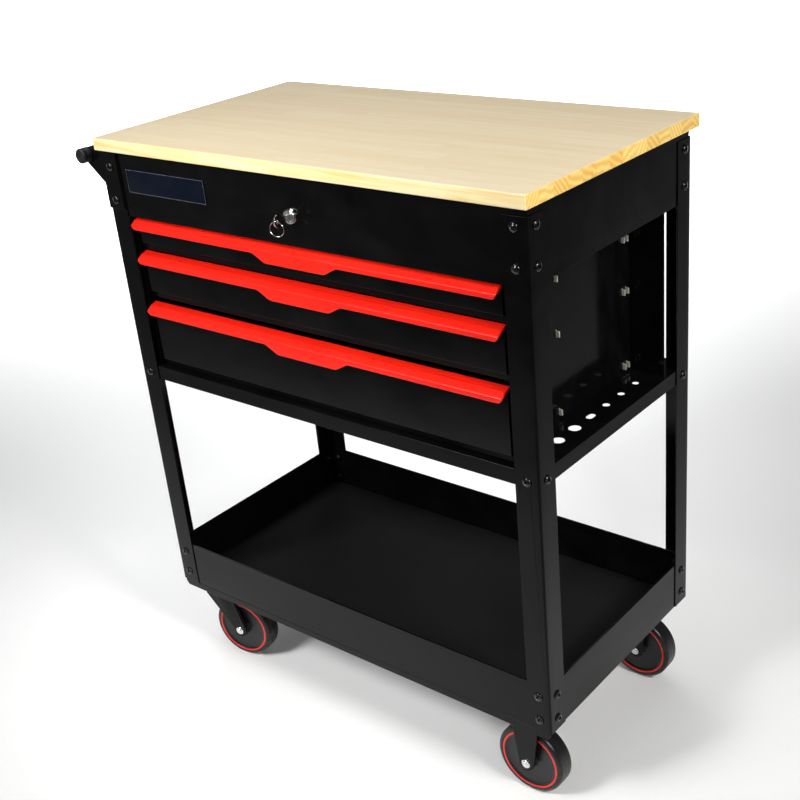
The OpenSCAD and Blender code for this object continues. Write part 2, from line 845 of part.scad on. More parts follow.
module tyre() {
    r = wheel_d / 2;
    shoulder = 5;
    color(rubber_black) spun() union() {
        translate([core_d / 2, -tyre_w / 2]) square([r - core_d / 2 - shoulder, tyre_w]);
        translate([core_d / 2, -tyre_w / 2 + shoulder]) square([r - core_d / 2, tyre_w - 2 * shoulder]);
        for (s = [-1, 1]) translate([r - shoulder, s * (tyre_w / 2 - shoulder)]) circle(shoulder);
    }
}

module wheel_core() {
    rim_t = 5;
    disc_t = tyre_w - 3;
    spun() union() {
        translate([core_d / 2 - rim_t, -tyre_w / 2 + 0.4]) square([rim_t, tyre_w - 0.8]);
        translate([axle_d / 2 + run_fit, -disc_t / 2]) square([core_d / 2 - rim_t - axle_d / 2, disc_t]);
        translate([axle_d / 2 + run_fit, -hub_w / 2]) square([7, hub_w]);
    }
}

module at_right(end) { placed() translate([caster_x, end * caster_y, 0]) children(); }
module at_left(end) { placed() swivel_at(end) translate([trail, 0, 0]) children(); }

module tyre_front_left() { at_left(-1) tyre(); }
module tyre_rear_left() { at_left(1) tyre(); }
module tyre_front_right() { at_right(-1) tyre(); }
module tyre_rear_right() { at_right(1) tyre(); }
module wheel_front_left() { color(black_paint) at_left(-1) wheel_core(); }
module wheel_rear_left() { color(black_paint) at_left(1) wheel_core(); }
module wheel_front_right() { color(black_paint) at_right(-1) wheel_core(); }
module wheel_rear_right() { color(black_paint) at_right(1) wheel_core(); }

worktop();
top_pan();
post_front_left();
post_front_right();
post_rear_left();
post_rear_right();
cabinet_left();
cabinet_right();
cabinet_back();
mid_deck();
bottom_tray();
tray_mat();
front_channel();
rear_channel();
handle_bracket_front();
handle_bracket_rear();
handle_tube();
handle_caps();
lock_housing();
lock_plug();
key();
key_ring();
lock_bar();
badge();
drawer_box_top();
drawer_box_middle();
drawer_box_bottom();
drawer_front_top();
drawer_front_middle();
drawer_front_bottom();
pull_top();
pull_middle();
pull_bottom();
slides_outer();
slides_middle_top();
slides_middle_middle();
slides_middle_bottom();
slides_inner_top();
slides_inner_middle();
slides_inner_bottom();
frame_bolts();
caster_bolts();
swivel_plates();
swivel_fork_front();
swivel_fork_rear();
rigid_forks();
axle_front_left();
axle_rear_left();
axles_right();
tyre_front_left();
tyre_rear_left();
tyre_front_right();
tyre_rear_right();
wheel_front_left();
wheel_rear_left();
wheel_front_right();
wheel_rear_right();
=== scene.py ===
import json
import math
import bpy
import bmesh
import numpy as np
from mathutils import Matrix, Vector


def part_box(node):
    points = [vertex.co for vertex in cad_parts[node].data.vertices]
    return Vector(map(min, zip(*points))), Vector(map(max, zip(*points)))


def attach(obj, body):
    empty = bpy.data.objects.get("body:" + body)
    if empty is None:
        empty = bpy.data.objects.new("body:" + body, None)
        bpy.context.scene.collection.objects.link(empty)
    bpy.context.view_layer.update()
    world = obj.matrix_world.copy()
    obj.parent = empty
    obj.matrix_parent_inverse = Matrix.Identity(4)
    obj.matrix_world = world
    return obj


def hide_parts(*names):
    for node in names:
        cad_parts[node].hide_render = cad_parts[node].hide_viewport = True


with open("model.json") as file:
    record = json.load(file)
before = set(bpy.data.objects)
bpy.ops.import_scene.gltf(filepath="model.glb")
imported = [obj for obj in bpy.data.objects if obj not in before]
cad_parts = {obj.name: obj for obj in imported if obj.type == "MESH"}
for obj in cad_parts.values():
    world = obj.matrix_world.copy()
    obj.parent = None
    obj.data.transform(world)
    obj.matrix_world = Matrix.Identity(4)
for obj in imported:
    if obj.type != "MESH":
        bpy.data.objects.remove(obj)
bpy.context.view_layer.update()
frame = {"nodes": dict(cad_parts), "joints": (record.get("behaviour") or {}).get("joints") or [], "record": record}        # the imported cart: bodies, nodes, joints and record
mm = 0.001
sides = {"left": -1, "right": 1}
bodyOf = {n: b for b, members in frame["record"]["behaviour"]["bodies"].items() for n in members}
slotOf = {n: o.data.materials[0].name for n, o in frame["nodes"].items()}
jointOf = {j["name"]: j for j in frame["joints"]}
print("frame loaded with", len(frame["nodes"]), "nodes")

# The camera stands in front and to the right, a little above the top
cameraPlan = {
    "place": (1.07471, -1.19052, 1.19977),
    "turn": (64.517, 4.513, 37.891),       # degrees about x, y and z
    "lens": 55.425,
    "shift": (-0.0440, 0.0056),
}


def makeCamera(plan):
    data = bpy.data.cameras.new("camera")
    data.lens = plan["lens"]
    data.shift_x, data.shift_y = plan["shift"]
    data.clip_end = 60
    eye = bpy.data.objects.new("camera", data)
    eye.location = plan["place"]
    eye.rotation_euler = [math.radians(a) for a in plan["turn"]]
    bpy.context.scene.collection.objects.link(eye)
    bpy.context.scene.camera = eye


makeCamera(cameraPlan)
bpy.context.scene.view_settings.view_transform = "Standard"
print("camera set")


def newFinish(name, colour, roughness, metallic=0.0, coat=0.0, coatRoughness=0.1, specular=0.5):
    material = bpy.data.materials.new(name)
    material.use_nodes = True
    shader = material.node_tree.nodes["Principled BSDF"]
    shader.inputs["Base Color"].default_value = (*colour, 1)
    shader.inputs["Roughness"].default_value = roughness
    shader.inputs["Metallic"].default_value = metallic
    shader.inputs["Coat Weight"].default_value = coat
    shader.inputs["Coat Roughness"].default_value = coatRoughness
    shader.inputs["Specular IOR Level"].default_value = specular
    material.diffuse_color = (*colour, 1)
    return material, material.node_tree, shader


def addNode(tree, kind, **settings):
    node = tree.nodes.new(kind)
    for key, value in settings.items():
        setattr(node, key, value)
    return node


def objectCoords(tree, scale=(1, 1, 1), turn=(0, 0, 0)):
    coords = addNode(tree, "ShaderNodeTexCoord")
    mapping = addNode(tree, "ShaderNodeMapping")
    mapping.inputs["Scale"].default_value = scale
    mapping.inputs["Rotation"].default_value = turn
    tree.links.new(coords.outputs["Object"], mapping.inputs["Vector"])
    return mapping.outputs["Vector"]


def noiseOf(tree, vector, scale, detail=3.0, rough=0.5, warp=0.0):
    noise = addNode(tree, "ShaderNodeTexNoise")
    noise.inputs["Scale"].default_value = scale
    noise.inputs["Detail"].default_value = detail
    noise.inputs["Roughness"].default_value = rough
    noise.inputs["Distortion"].default_value = warp
    tree.links.new(vector, noise.inputs["Vector"])
    return noise.outputs["Fac"]


def mathOf(tree, operation, a, b=None, clamp=False):
    node = addNode(tree, "ShaderNodeMath", operation=operation, use_clamp=clamp)
    for slot, value in enumerate((a, b)):
        if value is None:
            continue
        if isinstance(value, (int, float)):
            node.inputs[slot].default_value = value
        else:
            tree.links.new(value, node.inputs[slot])
    return node.outputs[0]


def spreadOf(tree, value, low, high, fromLow=0.35, fromHigh=0.65):
    node = addNode(tree, "ShaderNodeMapRange")
    for key, number in (("From Min", fromLow), ("From Max", fromHigh), ("To Min", low), ("To Max", high)):
        node.inputs[key].default_value = number
    tree.links.new(value, node.inputs["Value"])
    return node.outputs["Result"]


def blendOf(tree, factor, first, second):
    node = addNode(tree, "ShaderNodeMix", data_type="RGBA")
    for socket, value in ((node.inputs[0], factor), (node.inputs[6], first), (node.inputs[7], second)):
        if isinstance(value, (int, float)):
            socket.default_value = value
        elif isinstance(value, tuple):
            socket.default_value = (*value, 1)
        else:
            tree.links.new(value, socket)
    return node.outputs[2]


def bumpOn(tree, shader, height, strength, distance, before=None):
    node = addNode(tree, "ShaderNodeBump")
    node.inputs["Strength"].default_value = strength
    node.inputs["Distance"].default_value = distance
    tree.links.new(height, node.inputs["Height"])
    if before is not None:
        tree.links.new(before, node.inputs["Normal"])
    tree.links.new(node.outputs["Normal"], shader.inputs["Normal"])
    return node.outputs["Normal"]


# A stoved black coat: faint smudges in the gloss, the base colour lightened in the same patches as a painted
# mottled reflection, a fine orange peel and a slight waviness of the sheet
def blackCoat(name, colour, gloss, peel=0.06, specular=0.15):
    material, tree, shader = newFinish(name, colour, gloss[0], specular=specular)
    place = objectCoords(tree)
    smudge = spreadOf(tree, noiseOf(tree, place, 7, 6, 0.6, 0.8), 0.0, 1.0, 0.3, 0.72)
    drawnOut = objectCoords(tree, (6, 30, 14), (0.2, 0.3, 0.5))
    wiped = spreadOf(tree, noiseOf(tree, drawnOut, 2.2, 5, 0.62, 0.5), 0.0, 1.0, 0.42, 0.75)
    smudgeAndSheen = mathOf(tree, "ADD", mathOf(tree, "MULTIPLY", smudge, 0.6), mathOf(tree, "MULTIPLY", wiped, 0.4))
    rough = spreadOf(tree, smudgeAndSheen, gloss[0], gloss[1], 0.0, 1.0)
    tree.links.new(rough, shader.inputs["Roughness"])
    # the lighter base colour in the smudge patches is painted reflection, standing in for mottled reflections
    # in the gloss; the roughness patches are the real smudges
    lighter = tuple(c * 2 + 0.0034 for c in colour)
    tree.links.new(blendOf(tree, smudgeAndSheen, colour, lighter), shader.inputs["Base Color"])
    wave = bumpOn(tree, shader, noiseOf(tree, place, 11, 3, 0.5), 0.20, 1.2 * mm)
    bumpOn(tree, shader, noiseOf(tree, place, 900, 2, 0.5), peel, 0.10 * mm, wave)
    return material


# The pulls' red enamel: an even colour with a very slight drift, under a thin clear coat
def redCoat(name):
    deep, bright = (0.78, 0.010, 0.0035), (0.84, 0.016, 0.005)
    material, tree, shader = newFinish(name, (0.80, 0.012, 0.004), 0.3, coat=0.3, specular=0.35)
    place = objectCoords(tree)
    shade = spreadOf(tree, noiseOf(tree, place, 9, 4, 0.5), 0.0, 1.0, 0.2, 0.8)
    tree.links.new(blendOf(tree, shade, deep, bright), shader.inputs["Base Color"])
    rough = spreadOf(tree, noiseOf(tree, place, 25, 4, 0.5), 0.26, 0.36, 0.2, 0.8)
    tree.links.new(rough, shader.inputs["Roughness"])
    bumpOn(tree, shader, noiseOf(tree, place, 1000, 2, 0.5), 0.05, 0.08 * mm)
    return material


# Plated steel: a streaky brushed grain, cloudy roughness and small pits
def platedSteel(name, colour, gloss, grain=0.10, metallic=1.0):
    material, tree, shader = newFinish(name, colour, gloss[0], metallic=metallic)
    place = objectCoords(tree)
    streak = noiseOf(tree, objectCoords(tree, (14, 260, 260)), 3, 4, 0.6)
    cloud = noiseOf(tree, place, 70, 5, 0.65)
    darker = tuple(c * 0.72 for c in colour)
    tree.links.new(blendOf(tree, spreadOf(tree, cloud, 0, 1), darker, colour), shader.inputs["Base Color"])
    tree.links.new(spreadOf(tree, cloud, gloss[0], gloss[1]), shader.inputs["Roughness"])
    bumpOn(tree, shader, mathOf(tree, "ADD", streak, noiseOf(tree, place, 700, 3, 0.6)), grain, 0.1 * mm)
    return material


# Moulded stuff: an even dark colour, dusty patches and a fine grain
def mouldedStuff(name, colour, gloss, grainScale, grain, dusty=1.6, specular=0.4):
    material, tree, shader = newFinish(name, colour, gloss[0], specular=specular)
    place = objectCoords(tree)
    cloud = noiseOf(tree, place, 22, 7, 0.68, 0.3)
    lighter = tuple(c * dusty for c in colour)
    tree.links.new(blendOf(tree, spreadOf(tree, cloud, 0, 1), colour, lighter), shader.inputs["Base Color"])
    tree.links.new(spreadOf(tree, cloud, gloss[0], gloss[1]), shader.inputs["Roughness"])
    bumpOn(tree, shader, noiseOf(tree, place, grainScale, 3, 0.6), grain, 0.25 * mm)
    return material


# Matting: a close weave of small square knobs, sin(x) times sin(y), over soft unevenness
def mattingRubber(name, colour, pitch):
    material, tree, shader = newFinish(name, colour, 0.8, specular=0.12)
    place = objectCoords(tree)
    parts = addNode(tree, "ShaderNodeSeparateXYZ")
    tree.links.new(place, parts.inputs[0])
    turns = 2 * math.pi / pitch
    waveX = mathOf(tree, "SINE", mathOf(tree, "MULTIPLY", parts.outputs["X"], turns))
    waveY = mathOf(tree, "SINE", mathOf(tree, "MULTIPLY", parts.outputs["Y"], turns))
    knobs = mathOf(tree, "MULTIPLY", waveX, waveY)
    cloud = noiseOf(tree, place, 7, 7, 0.65, 0.4)
    fleck = noiseOf(tree, place, 500, 4, 0.7)
    shade = mathOf(tree, "ADD", spreadOf(tree, cloud, 0, 0.7), spreadOf(tree, fleck, 0, 0.5), clamp=True)
    lighter = tuple(c * 1.9 for c in colour)
    tree.links.new(blendOf(tree, shade, colour, lighter), shader.inputs["Base Color"])
    tree.links.new(spreadOf(tree, cloud, 0.66, 0.86), shader.inputs["Roughness"])
    height = mathOf(tree, "ADD", knobs, mathOf(tree, "MULTIPLY", fleck, 1.2))
    bumpOn(tree, shader, height, 0.35, 0.2 * mm)
    return material


woodPlan = {
    "stave": 0.0285,                  # width of a stave
    "piece": 0.46,                    # usual length of a piece within a stave
    "edgePale": (1.0, 0.86, 0.50),    # the sideways faces are painted yellower and brighter than the top: painted light standing in for the sheen that pales the top
    "edgeWarm": (0.92, 0.66, 0.24),
    "pale": (0.88, 0.77, 0.56),
    "warm": (0.80, 0.63, 0.39),
    "endPale": (1.0, 0.74, 0.24),
    "endWarm": (0.76, 0.43, 0.09),
}


# Laminated board. Stave number = floor(y / width), piece number = floor((x + shift of the stave) / length);
# each piece has its own tone, and its grain is noise drawn out along x. End faces show rings instead.
def laminatedWood(name, plan):
    material, tree, shader = newFinish(name, plan["pale"], 0.42, coat=0.12, coatRoughness=0.3)
    place = objectCoords(tree)
    parts = addNode(tree, "ShaderNodeSeparateXYZ")
    tree.links.new(place, parts.inputs[0])
    across = mathOf(tree, "DIVIDE", mathOf(tree, "ADD", parts.outputs["Y"], 0.3), plan["stave"])
    stave = mathOf(tree, "FLOOR", across)
    shift = addNode(tree, "ShaderNodeTexWhiteNoise", noise_dimensions="1D")
    tree.links.new(stave, shift.inputs["W"])
    lengths = mathOf(tree, "DIVIDE", parts.outputs["X"], plan["piece"])
    along = mathOf(tree, "ADD", lengths, shift.outputs["Value"])
    number = mathOf(tree, "ADD", mathOf(tree, "MULTIPLY", stave, 7.3), mathOf(tree, "FLOOR", along))
    tone = addNode(tree, "ShaderNodeTexWhiteNoise", noise_dimensions="1D")
    tree.links.new(number, tone.inputs["W"])
    # the grain of a piece: its own stretch of a long noise
    moved = addNode(tree, "ShaderNodeCombineXYZ")
    tree.links.new(mathOf(tree, "MULTIPLY", parts.outputs["X"], 5), moved.inputs[0])
    tree.links.new(mathOf(tree, "MULTIPLY", parts.outputs["Y"], 95), moved.inputs[1])
    depth = mathOf(tree, "MULTIPLY", parts.outputs["Z"], 90)
    tree.links.new(mathOf(tree, "ADD", number, depth), moved.inputs[2])
    figure = noiseOf(tree, moved.outputs[0], 1.0, 5, 0.62, 0.9)
    fibre = noiseOf(tree, objectCoords(tree, (30, 1500, 1500)), 1.0, 3, 0.6)
    grain = mathOf(tree, "ADD", mathOf(tree, "MULTIPLY", figure, 0.75), mathOf(tree, "MULTIPLY", fibre, 0.3))
    pieceTone = mathOf(tree, "MULTIPLY", tone.outputs["Value"], 0.34)
    mixed = mathOf(tree, "ADD", pieceTone, spreadOf(tree, grain, 0.0, 0.5), clamp=True)
    face = blendOf(tree, mixed, plan["pale"], plan["warm"])
    # rings on the ends: bands across a direction turned by the stave's own number
    lean = mathOf(tree, "SUBTRACT", mathOf(tree, "MULTIPLY", shift.outputs["Value"], 3.2), 1.6)
    swing = mathOf(tree, "ADD", parts.outputs["Z"], mathOf(tree, "MULTIPLY", parts.outputs["Y"], lean))
    ripple = mathOf(tree, "MULTIPLY", noiseOf(tree, place, 60, 3, 0.6), 0.012)
    rings = mathOf(tree, "SINE", mathOf(tree, "MULTIPLY", mathOf(tree, "ADD", swing, ripple), 620))
    ringMix = mathOf(tree, "ADD", mathOf(tree, "MULTIPLY", tone.outputs["Value"], 0.5),
                     spreadOf(tree, rings, 0.0, 0.62, -1, 1), clamp=True)
    endFace = blendOf(tree, ringMix, plan["endPale"], plan["endWarm"])
    coords = addNode(tree, "ShaderNodeTexCoord")
    facing = addNode(tree, "ShaderNodeSeparateXYZ")
    tree.links.new(coords.outputs["Normal"], facing.inputs[0])
    onEnd = mathOf(tree, "GREATER_THAN", mathOf(tree, "ABSOLUTE", facing.outputs["X"]), 0.7)
    onSide = mathOf(tree, "LESS_THAN", mathOf(tree, "ABSOLUTE", facing.outputs["Z"]), 0.7)
    streaks = spreadOf(tree, figure, 0.0, 1.0, 0.42, 0.68)
    # sideways faces get a yellower, brighter colour than the top: painted light standing in for the sheen on
    # the top; the streaks in it are the real grain
    paintedEdgeFace = blendOf(tree, onSide, face, blendOf(tree, streaks, plan["edgePale"], plan["edgeWarm"]))
    colour = blendOf(tree, onEnd, paintedEdgeFace, endFace)
    # thin glue lines between the staves
    edge = mathOf(tree, "PINGPONG", across, 0.5)
    glue = mathOf(tree, "LESS_THAN", edge, 0.010)
    darkened = blendOf(tree, mathOf(tree, "MULTIPLY", glue, 0.45), colour, plan["endWarm"])
    tree.links.new(darkened, shader.inputs["Base Color"])
    tree.links.new(spreadOf(tree, grain, 0.36, 0.52), shader.inputs["Roughness"])
    height = mathOf(tree, "SUBTRACT", grain, mathOf(tree, "MULTIPLY", glue, 0.6))
    bumpOn(tree, shader, height, 0.16, 0.25 * mm)
    return material


finishes = {
    "black_powder_coat": blackCoat("blackCoat", (0.0011, 0.0011, 0.0012), (0.07, 0.24)),
    "red_pull": redCoat("redCoat"),
    "zinc": platedSteel("zincPlate", (0.86, 0.84, 0.74), (0.26, 0.42), 0.08, 0.6),
    "chrome": platedSteel("chromePlate", (0.88, 0.88, 0.88), (0.06, 0.18), 0.04),
    "black_bolt": blackCoat("blackOxide", (0.0012, 0.0012, 0.0013), (0.12, 0.26), 0.10, 0.5),
    "hardwood": laminatedWood("laminatedWood", woodPlan),
    "tyre_rubber": mouldedStuff("tyreRubber", (0.0030, 0.0030, 0.0034), (0.22, 0.40), 650, 0.14),
    "wheel_plastic": mouldedStuff("wheelPlastic", (0.0030, 0.0030, 0.0036), (0.30, 0.46), 900, 0.12),
    "cap_plastic": mouldedStuff("capPlastic", (0.005, 0.005, 0.0055), (0.38, 0.55), 800, 0.18),
    "mat_rubber": mattingRubber("mattingRubber", (0.0035, 0.0035, 0.0037), 0.0022),
    "badge_blue": mouldedStuff("badgeEnamel", (0.0016, 0.0036, 0.0095), (0.16, 0.28), 300, 0.05, 1.35, 0.25),
}
print("finishes made:", len(finishes))


# A new piece from points and faces: doubles merged, normals outward, edges sharper than an angle kept sharp
def pieceFrom(name, points, faces, finish, body, replaced=(), sharp=35.0):
    mesh = bpy.data.meshes.new(name)
    mesh.from_pydata(np.asarray(points, float).reshape(-1, 3).tolist(), [], faces)
    work = bmesh.new()
    work.from_mesh(mesh)
    bmesh.ops.remove_doubles(work, verts=work.verts, dist=1e-6)
    bmesh.ops.dissolve_degenerate(work, edges=work.edges, dist=1e-7)
    bmesh.ops.recalc_face_normals(work, faces=work.faces)
    work.to_mesh(mesh)
    work.free()
    mesh.polygons.foreach_set("use_smooth", np.ones(len(mesh.polygons), bool))
    mesh.set_sharp_from_angle(angle=math.radians(sharp))
    return settle(bpy.data.objects.new(name, mesh), finish, body, replaced)


def settle(piece, finish, body, replaced):
    bpy.context.scene.collection.objects.link(piece)
    piece.data.materials.append(finishes[finish])
    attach(piece, body)
    if replaced:
        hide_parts(*replaced)
    return piece


# Quads of a grid of rows by columns, with either way closed on itself
def gridFaces(rows, columns, closeRows=False, closeColumns=False, first=0):
    r = np.arange(rows if closeRows else rows - 1)[:, None]
    c = np.arange(columns if closeColumns else columns - 1)[None, :]
    r2 = (r + 1) % rows
    c2 = (c + 1) % columns
    quads = np.stack([r * columns + c + 0 * r2, r2 * columns + c, r2 * columns + c2, r * columns + c2], -1)
    return (quads.reshape(-1, 4) + first).tolist()


# An outline whose corners are round: each bend is a parabola that starts and ends at radius * tan(angle / 2)
# from the corner, where angle is how far the outline turns there
def roundedOutline(corners, radii, steps=5, closed=True):
    corners = np.asarray(corners, float)
    radii = np.broadcast_to(np.asarray(radii, float), (len(corners),))
    before = corners - np.roll(corners, 1, 0)
    after = np.roll(corners, -1, 0) - corners
    lengthB = np.linalg.norm(before, axis=1, keepdims=True)
    lengthA = np.linalg.norm(after, axis=1, keepdims=True)
    before, after = before / lengthB, after / lengthA
    angle = np.arccos(np.clip((before * after).sum(1), -1, 1))
    pull = np.minimum(radii * np.tan(angle / 2), 0.49 * np.minimum(lengthA, lengthB)[:, 0])[:, None]
    t = np.linspace(0, 1, steps)[None, :, None]
    start, end = (corners - before * pull)[:, None], (corners + after * pull)[:, None]
    middle = corners[:, None]
    curve = (1 - t) ** 2 * start + 2 * t * (1 - t) * middle + t ** 2 * end
    if not closed:
        return np.concatenate([corners[:1], curve[1:-1].reshape(-1, 2), corners[-1:]])
    return curve.reshape(-1, 2)


# An outline in y and z at each place along x: point = (x, y of outline, z of outline), ends closed by a face
def carriedAlongX(places, outlines):
    count = outlines.shape[1]
    points = np.empty((len(places), count, 3))
    points[..., 0] = np.asarray(places)[:, None]
    points[..., 1:] = outlines
    faces = gridFaces(len(places), count, closeColumns=True)
    last = (len(places) - 1) * count
    faces += [list(range(count))[::-1], list(range(last, last + count))]
    return points.reshape(-1, 3), faces


# A profile of radius and height turned about an axis:
# point = centre + height * axis + radius * (cos(angle) * first + sin(angle) * second)
def turned(profile, centre, axis, steps=64, closed=False, first=0):
    profile = np.asarray(profile, float)
    axis = np.asarray(Vector(axis).normalized())
    side = np.cross(axis, (0, 0, 1)) if abs(axis[2]) < 0.9 else np.cross(axis, (1, 0, 0))
    side = side / np.linalg.norm(side)
    other = np.cross(axis, side)
    angle = np.linspace(0, 2 * math.pi, steps, endpoint=False)[None, :, None]
    around = np.cos(angle) * side + np.sin(angle) * other
    points = np.asarray(centre) + profile[:, 1, None, None] * axis + profile[:, 0, None, None] * around
    return points.reshape(-1, 3), gridFaces(len(profile), steps, closed, True, first)


# A slab with a rounded plan and rounded edges:
# point = corner centre + (corner radius - inset) * (cos, sin), inset and height following an arc at each edge
def softSlab(low, high, cornerRadius, edgeRadius, arcSteps=6, edgeSteps=5):
    low, high = np.asarray(low, float), np.asarray(high, float)
    quarter = np.linspace(0, math.pi / 2, arcSteps)
    angle = (np.arange(4)[:, None] * math.pi / 2 + quarter).reshape(-1)
    signs = np.repeat(np.array([(1, 1), (-1, 1), (-1, -1), (1, -1)]), arcSteps, 0)
    middle = (low[:2] + high[:2]) / 2
    centres = middle + signs * ((high[:2] - low[:2]) / 2 - cornerRadius)
    bend = np.linspace(0, math.pi / 2, edgeSteps)
    inset = np.concatenate([edgeRadius * (1 - np.sin(bend)), edgeRadius * (1 - np.cos(bend))])
    lower, upper = low[2] + edgeRadius * (1 - np.cos(bend)), high[2] - edgeRadius * (1 - np.sin(bend))
    height = np.concatenate([lower, upper])
    points = np.empty((len(inset), len(angle), 3))
    points[..., 0] = centres[:, 0] + (cornerRadius - inset[:, None]) * np.cos(angle)
    points[..., 1] = centres[:, 1] + (cornerRadius - inset[:, None]) * np.sin(angle)
    points[..., 2] = height[:, None]
    count = len(angle)
    faces = gridFaces(len(inset), count, closeColumns=True)
    last = (len(inset) - 1) * count
    faces += [list(range(count))[::-1], list(range(last, last + count))]
    return points.reshape(-1, 3), faces


def joined(*shapes):
    points, faces, first = [], [], 0
    for shapePoints, shapeFaces in shapes:
        points.append(np.asarray(shapePoints).reshape(-1, 3))
        faces += [[first + i for i in face] for face in shapeFaces]
        first += len(points[-1])
    return np.concatenate(points), faces


def camel(node):
    first, *rest = node.split("_")
    return first + "".join(word.capitalize() for word in rest)


# A node's triangles merged, its flat areas joined and its edges rounded by a narrow bevel
def softenedCopy(node, edge):
    source = frame["nodes"][node].data
    corners = np.empty(len(source.vertices) * 3, np.float32)
    source.vertices.foreach_get("co", corners)
    indices = np.empty(len(source.loops), np.int32)
    source.loops.foreach_get("vertex_index", indices)
    mesh = bpy.data.meshes.new(camel(node))
    mesh.from_pydata(corners.reshape(-1, 3).tolist(), [], indices.reshape(-1, 3).tolist())
    work = bmesh.new()
    work.from_mesh(mesh)
    bmesh.ops.remove_doubles(work, verts=work.verts, dist=2e-6)
    bmesh.ops.dissolve_limit(work, angle_limit=math.radians(1), verts=work.verts, edges=work.edges)
    work.to_mesh(mesh)
    work.free()
    mesh.polygons.foreach_set("use_smooth", np.ones(len(mesh.polygons), bool))
    piece = settle(bpy.data.objects.new(camel(node), mesh), slotOf[node], bodyOf[node], [node])
    bevel = piece.modifiers.new("softEdges", "BEVEL")
    bevel.width = edge
    bevel.segments = 2
    bevel.limit_method = "ANGLE"
    bevel.angle_limit = math.radians(38)
    bevel.use_clamp_overlap = False
    bevel.harden_normals = True
    return piece


# The folded and pressed pieces, by the width of their softened edges
levels = ("top", "middle", "bottom")
edgePlan = {
    0.7 * mm: ["top_pan", "mid_deck", "front_channel", "rear_channel", "swivel_plates", "swivel_fork_front",
               "swivel_fork_rear", "rigid_forks", "handle_bracket_front", "handle_bracket_rear"],
    0.45 * mm: ["post_front_left", "post_front_right", "post_rear_left", "post_rear_right", "bottom_tray",
                "cabinet_left", "cabinet_right", "cabinet_back", "lock_bar", "caster_bolts", "handle_tube"],
    0.3 * mm: ["drawer_box_top", "drawer_box_middle", "drawer_box_bottom", "key", "slides_outer"]
              + [f"slides_{part}_{level}" for part in ("middle", "inner") for level in levels],
}
for edge, nodes in edgePlan.items():
    for node in nodes:
        softenedCopy(node, edge)
print("sheet metal softened:", sum(len(n) for n in edgePlan.values()), "pieces")


def makeWorktop():
    plan = {"corner": 2.0 * mm, "edge": 1.3 * mm}
    board = softSlab(*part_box("worktop"), plan["corner"], plan["edge"])
    pieceFrom("worktop", *board, "hardwood", "frame", ["worktop"])


makeWorktop()


def makeMat():
    plan = {"corner": 6 * mm, "edge": 0.8 * mm}
    mat = softSlab(*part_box("tray_mat"), plan["corner"], plan["edge"])
    pieceFrom("trayMat", *mat, "mat_rubber", "frame", ["tray_mat"])


makeMat()


# A blank enamelled plate with a thin raised rim: a small circle carried round the plate, half sunk in it
def makeBadge():
    plan = {"corner": 2.2 * mm, "edge": 0.35 * mm, "rimInset": 1.6 * mm, "rimRadius": 0.28 * mm}
    low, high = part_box("badge")
    thick = high.y - low.y

    def stood(points):        # the slab is made lying down, then its height becomes depth towards the front
        points = np.asarray(points)
        return np.stack([points[:, 0], high.y - points[:, 2], points[:, 1]], 1)

    top = thick - plan["rimRadius"]
    slab, faces = softSlab((low.x, low.z, 0), (high.x, high.z, top), plan["corner"], plan["edge"])
    pieceFrom("badge", stood(slab), faces, "badge_blue", "frame", ["badge"])
    turn = np.linspace(0, 2 * math.pi, 9)[:-1]
    inset = plan["rimInset"] + plan["rimRadius"] * np.cos(turn)
    height = top + plan["rimRadius"] * np.sin(turn)
    corner = plan["corner"]
    angle = (np.arange(4)[:, None] * math.pi / 2 + np.linspace(0, math.pi / 2, 5)).reshape(-1)
    signs = np.repeat(np.array([(1, 1), (-1, 1), (-1, -1), (1, -1)]), 5, 0)
    half = np.array([(high.x - low.x) / 2 - corner, (high.z - low.z) / 2 - corner])
    centre = np.array([(high.x + low.x) / 2, (high.z + low.z) / 2]) + signs * half
    ring = np.empty((len(turn), len(angle), 3))
    ring[..., 0] = centre[:, 0] + (corner - inset[:, None]) * np.cos(angle)
    ring[..., 1] = centre[:, 1] + (corner - inset[:, None]) * np.sin(angle)
    ring[..., 2] = height[:, None]
    faces = gridFaces(len(turn), len(angle), True, True)
    pieceFrom("badgeRim", stood(ring.reshape(-1, 3)), faces, "chrome", "frame")


makeBadge()
print("worktop, mat and badge made")

# Each drawer has a folded face and a full-width pull
drawerPlan = {
    "sheet": 1.2 * mm,
    "stepHeight": 9 * mm,
    "stepDepth": 4 * mm,
    "bend": 1.5 * mm,
    "innerBend": 0.35 * mm,
}


# Face of a drawer: one folded sheet, its outline in y and z with round bends, carried along x
def makeDrawerFace(level, plan):
    low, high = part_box("drawer_front_" + level)
    t, step, deep = plan["sheet"], plan["stepHeight"], plan["stepDepth"]
    face, back, z0, z1 = low.y, high.y, low.z, high.z
    corners = [(back, z1), (face, z1), (face, z0 + step), (face + deep, z0 + step), (face + deep, z0),
               (back, z0), (back, z0 + t), (face + deep + t, z0 + t), (face + deep + t, z0 + step + t),
               (face + t, z0 + step + t), (face + t, z1 - t), (back, z1 - t)]
    bend, small, cut = plan["bend"], plan["innerBend"], 0.15 * mm
    radii = [cut, bend, bend, small, bend, cut, cut, small, bend, small, small, cut]
    outline = roundedOutline(corners, radii, 6)
    shapes = [carriedAlongX([low.x, high.x], np.stack([outline] * 2))]
    flangeCorners = [(face + t, z0 + step), (back - t, z0 + step), (back - t, z1 - t), (face + t, z1 - t)]
    flange = roundedOutline(flangeCorners, cut, 3)
    for x in (low.x, high.x - t):
        shapes.append(carriedAlongX([x, x + t], np.stack([flange] * 2)))
    name = "drawer_front_" + level
    pieceFrom(camel(name), *joined(*shapes), "black_powder_coat", bodyOf[name], [name])


pullPlan = {
    "cap": 6 * mm,                # how far the cap reaches back over the drawer's edge
    "wall": 1.6 * mm,
    "height": 15.4 * mm,
    "lip": 6.2 * mm,
    "tabDrop": 11 * mm,
    "tabHalf": 51 * mm,
    "tabSlope": 21 * mm,
    "endRadius": 6.5 * mm,
    "soften": 3 * mm,
}


